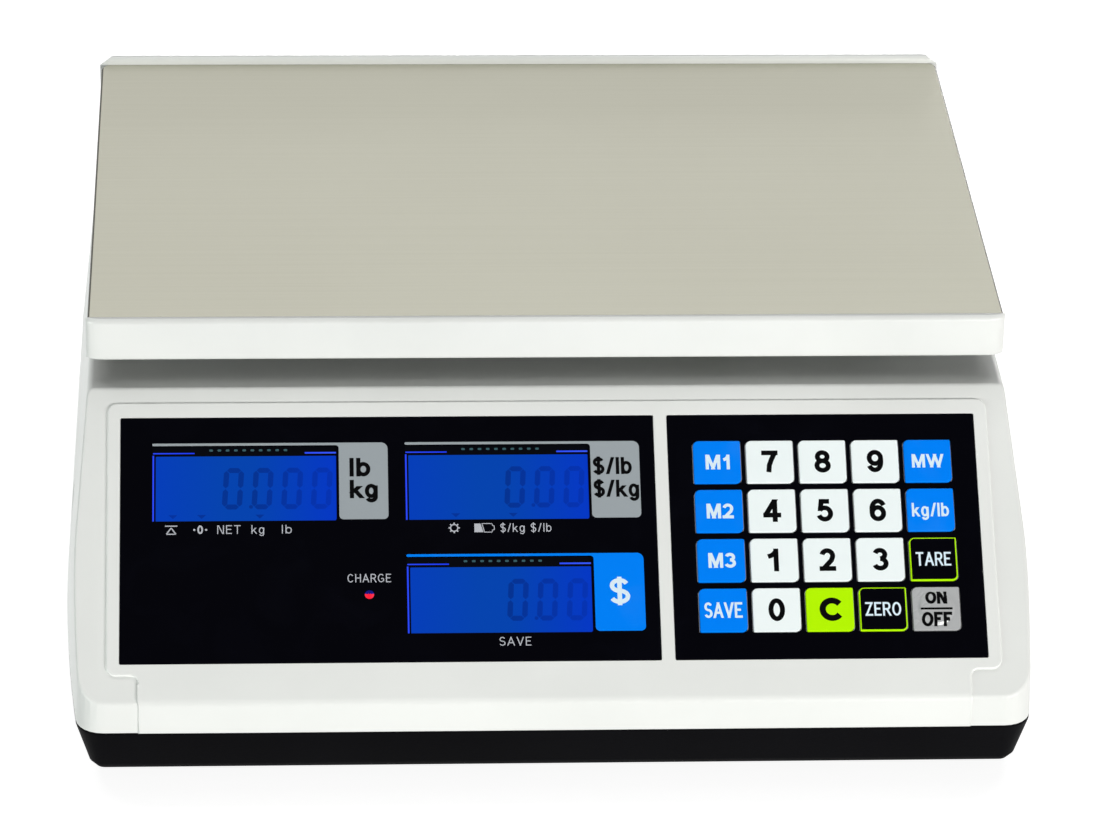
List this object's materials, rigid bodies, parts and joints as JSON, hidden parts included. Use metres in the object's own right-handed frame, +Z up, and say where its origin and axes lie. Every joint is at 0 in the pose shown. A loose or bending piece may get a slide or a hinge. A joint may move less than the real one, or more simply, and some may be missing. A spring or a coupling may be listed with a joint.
{
  "type": "retail price scale",
  "caption": "Counter price scale with a sloping display and keypad panel, a lift-off stainless platter on a load cell, a customer display behind and levelling feet.",
  "frame": {"origin": "on the table, under the middle of the body's box", "axes": "+X to the user's right, +Y to the back, +Z up"},
  "size_m": [0.35, 0.3286, 0.1358],
  "materials": {
    "base_black": "moulded, fine texture",
    "housing_white": "moulded, satin",
    "panel_white": "moulded, satin",
    "tray_white": "moulded, satin",
    "overlay_black": "gloss film",
    "lcd_blue": "backlit glass",
    "light_guide": "frosted",
    "board_green": "solder mask",
    "dome_steel": "stamped",
    "circuit_film": "printed film",
    "led_red": "tinted epoxy",
    "component_grey": "moulded",
    "battery_grey": "moulded",
    "jack_black": "moulded",
    "cell_aluminium": "milled and cast",
    "screw_steel": "zinc plated",
    "vial_glass": "clear",
    "lead_rubber": "matte sheath",
    "ribbon_grey": "flat ribbon",
    "pad_rubber": "matte",
    "foot_rubber": "matte",
    "platter_steel": "brushed across",
    "key_blue": "printed film",
    "key_white": "printed film",
    "key_green": "printed film",
    "key_black": "printed film",
    "key_grey": "printed film"
  },
  "bodies": {
    "base": {"base_tray": "base_black", "upper_housing": "housing_white", "front_panel": "panel_white", "display_overlay": "overlay_black", "keypad_overlay": "overlay_black", "lcd_weight": "lcd_blue", "lcd_unit_price": "lcd_blue", "lcd_total_price": "lcd_blue", "lcd_backlights": "light_guide", "display_board": "board_green", "dome_sheet": "dome_steel", "keypad_circuit": "circuit_film", "charge_led": "led_red", "main_board": "board_green", "board_components": "component_grey", "battery": "battery_grey", "battery_cover": "base_black", "dc_jack": "jack_black", "load_cell": "cell_aluminium", "cell_pedestal": "cell_aluminium", "cell_bolts": "screw_steel", "overload_stop": "screw_steel", "level_vial": "vial_glass", "case_screws": "screw_steel", "board_screws": "screw_steel", "rear_overlay": "overlay_black", "rear_lcds": "lcd_blue", "rear_board": "board_green", "load_cell_cable": "lead_rubber", "display_ribbon": "ribbon_grey"},
    "weigh_frame": {"spider": "cell_aluminium", "spider_bolts": "screw_steel", "tray_pads": "pad_rubber"},
    "platter": {"platter_tray": "tray_white", "platter_sheet": "platter_steel"},
    "key_m1": {"key_m1": "key_blue"},
    "key_7": {"key_7": "key_white"},
    "key_8": {"key_8": "key_white"},
    "key_9": {"key_9": "key_white"},
    "key_mw": {"key_mw": "key_blue"},
    "key_m2": {"key_m2": "key_blue"},
    "key_4": {"key_4": "key_white"},
    "key_5": {"key_5": "key_white"},
    "key_6": {"key_6": "key_white"},
    "key_unit": {"key_unit": "key_blue"},
    "key_m3": {"key_m3": "key_blue"},
    "key_1": {"key_1": "key_white"},
    "key_2": {"key_2": "key_white"},
    "key_3": {"key_3": "key_white"},
    "key_tare": {"key_tare": "key_black"},
    "key_save": {"key_save": "key_blue"},
    "key_0": {"key_0": "key_white"},
    "key_clear": {"key_clear": "key_green"},
    "key_zero": {"key_zero": "key_black"},
    "key_power": {"key_power": "key_grey"},
    "foot_front_left": {"foot_front_left": "foot_rubber"},
    "foot_front_right": {"foot_front_right": "foot_rubber"},
    "foot_rear_left": {"foot_rear_left": "foot_rubber"},
    "foot_rear_right": {"foot_rear_right": "foot_rubber"}
  },
  "joints": [
    {"name": "weigh_deflection", "type": "slide", "parent": "base", "child": "weigh_frame", "axis": [0, 0, 1], "range_m": [-0.0005, 0], "stiffness_N_per_m": 300000, "deforming": ["load_cell"]},
    {"name": "platter_lift", "type": "slide", "parent": "weigh_frame", "child": "platter", "axis": [0, 0, 1], "range_m": [0, 0.06]},
    {"name": "key_m1_press", "type": "slide", "parent": "base", "child": "key_m1", "axis": [0, 0.6157, -0.788], "range_m": [0, 0.0004], "stiffness_N_per_m": 4000, "deforming": ["dome_sheet"]},
    {"name": "key_7_press", "type": "slide", "parent": "base", "child": "key_7", "axis": [0, 0.6157, -0.788], "range_m": [0, 0.0004], "stiffness_N_per_m": 4000, "deforming": ["dome_sheet"]},
    {"name": "key_8_press", "type": "slide", "parent": "base", "child": "key_8", "axis": [0, 0.6157, -0.788], "range_m": [0, 0.0004], "stiffness_N_per_m": 4000, "deforming": ["dome_sheet"]},
    {"name": "key_9_press", "type": "slide", "parent": "base", "child": "key_9", "axis": [0, 0.6157, -0.788], "range_m": [0, 0.0004], "stiffness_N_per_m": 4000, "deforming": ["dome_sheet"]},
    {"name": "key_mw_press", "type": "slide", "parent": "base", "child": "key_mw", "axis": [0, 0.6157, -0.788], "range_m": [0, 0.0004], "stiffness_N_per_m": 4000, "deforming": ["dome_sheet"]},
    {"name": "key_m2_press", "type": "slide", "parent": "base", "child": "key_m2", "axis": [0, 0.6157, -0.788], "range_m": [0, 0.0004], "stiffness_N_per_m": 4000, "deforming": ["dome_sheet"]},
    {"name": "key_4_press", "type": "slide", "parent": "base", "child": "key_4", "axis": [0, 0.6157, -0.788], "range_m": [0, 0.0004], "stiffness_N_per_m": 4000, "deforming": ["dome_sheet"]},
    {"name": "key_5_press", "type": "slide", "parent": "base", "child": "key_5", "axis": [0, 0.6157, -0.788], "range_m": [0, 0.0004], "stiffness_N_per_m": 4000, "deforming": ["dome_sheet"]},
    {"name": "key_6_press", "type": "slide", "parent": "base", "child": "key_6", "axis": [0, 0.6157, -0.788], "range_m": [0, 0.0004], "stiffness_N_per_m": 4000, "deforming": ["dome_sheet"]},
    {"name": "key_unit_press", "type": "slide", "parent": "base", "child": "key_unit", "axis": [0, 0.6157, -0.788], "range_m": [0, 0.0004], "stiffness_N_per_m": 4000, "deforming": ["dome_sheet"]},
    {"name": "key_m3_press", "type": "slide", "parent": "base", "child": "key_m3", "axis": [0, 0.6157, -0.788], "range_m": [0, 0.0004], "stiffness_N_per_m": 4000, "deforming": ["dome_sheet"]},
    {"name": "key_1_press", "type": "slide", "parent": "base", "child": "key_1", "axis": [0, 0.6157, -0.788], "range_m": [0, 0.0004], "stiffness_N_per_m": 4000, "deforming": ["dome_sheet"]},
    {"name": "key_2_press", "type": "slide", "parent": "base", "child": "key_2", "axis": [0, 0.6157, -0.788], "range_m": [0, 0.0004], "stiffness_N_per_m": 4000, "deforming": ["dome_sheet"]},
    {"name": "key_3_press", "type": "slide", "parent": "base", "child": "key_3", "axis": [0, 0.6157, -0.788], "range_m": [0, 0.0004], "stiffness_N_per_m": 4000, "deforming": ["dome_sheet"]},
    {"name": "key_tare_press", "type": "slide", "parent": "base", "child": "key_tare", "axis": [0, 0.6157, -0.788], "range_m": [0, 0.0004], "stiffness_N_per_m": 4000, "deforming": ["dome_sheet"]},
    {"name": "key_save_press", "type": "slide", "parent": "base", "child": "key_save", "axis": [0, 0.6157, -0.788], "range_m": [0, 0.0004], "stiffness_N_per_m": 4000, "deforming": ["dome_sheet"]},
    {"name": "key_0_press", "type": "slide", "parent": "base", "child": "key_0", "axis": [0, 0.6157, -0.788], "range_m": [0, 0.0004], "stiffness_N_per_m": 4000, "deforming": ["dome_sheet"]},
    {"name": "key_clear_press", "type": "slide", "parent": "base", "child": "key_clear", "axis": [0, 0.6157, -0.788], "range_m": [0, 0.0004], "stiffness_N_per_m": 4000, "deforming": ["dome_sheet"]},
    {"name": "key_zero_press", "type": "slide", "parent": "base", "child": "key_zero", "axis": [0, 0.6157, -0.788], "range_m": [0, 0.0004], "stiffness_N_per_m": 4000, "deforming": ["dome_sheet"]},
    {"name": "key_power_press", "type": "slide", "parent": "base", "child": "key_power", "axis": [0, 0.6157, -0.788], "range_m": [0, 0.0004], "stiffness_N_per_m": 4000, "deforming": ["dome_sheet"]},
    {"name": "foot_front_left_level", "type": "slide", "parent": "base", "child": "foot_front_left", "axis": [0, 0, 1], "range_m": [-0.006, 0]},
    {"name": "foot_front_right_level", "type": "slide", "parent": "base", "child": "foot_front_right", "axis": [0, 0, 1], "range_m": [-0.006, 0]},
    {"name": "foot_rear_left_level", "type": "slide", "parent": "base", "child": "foot_rear_left", "axis": [0, 0, 1], "range_m": [-0.006, 0]},
    {"name": "foot_rear_right_level", "type": "slide", "parent": "base", "child": "foot_rear_right", "axis": [0, 0, 1], "range_m": [-0.006, 0]}
  ]
}
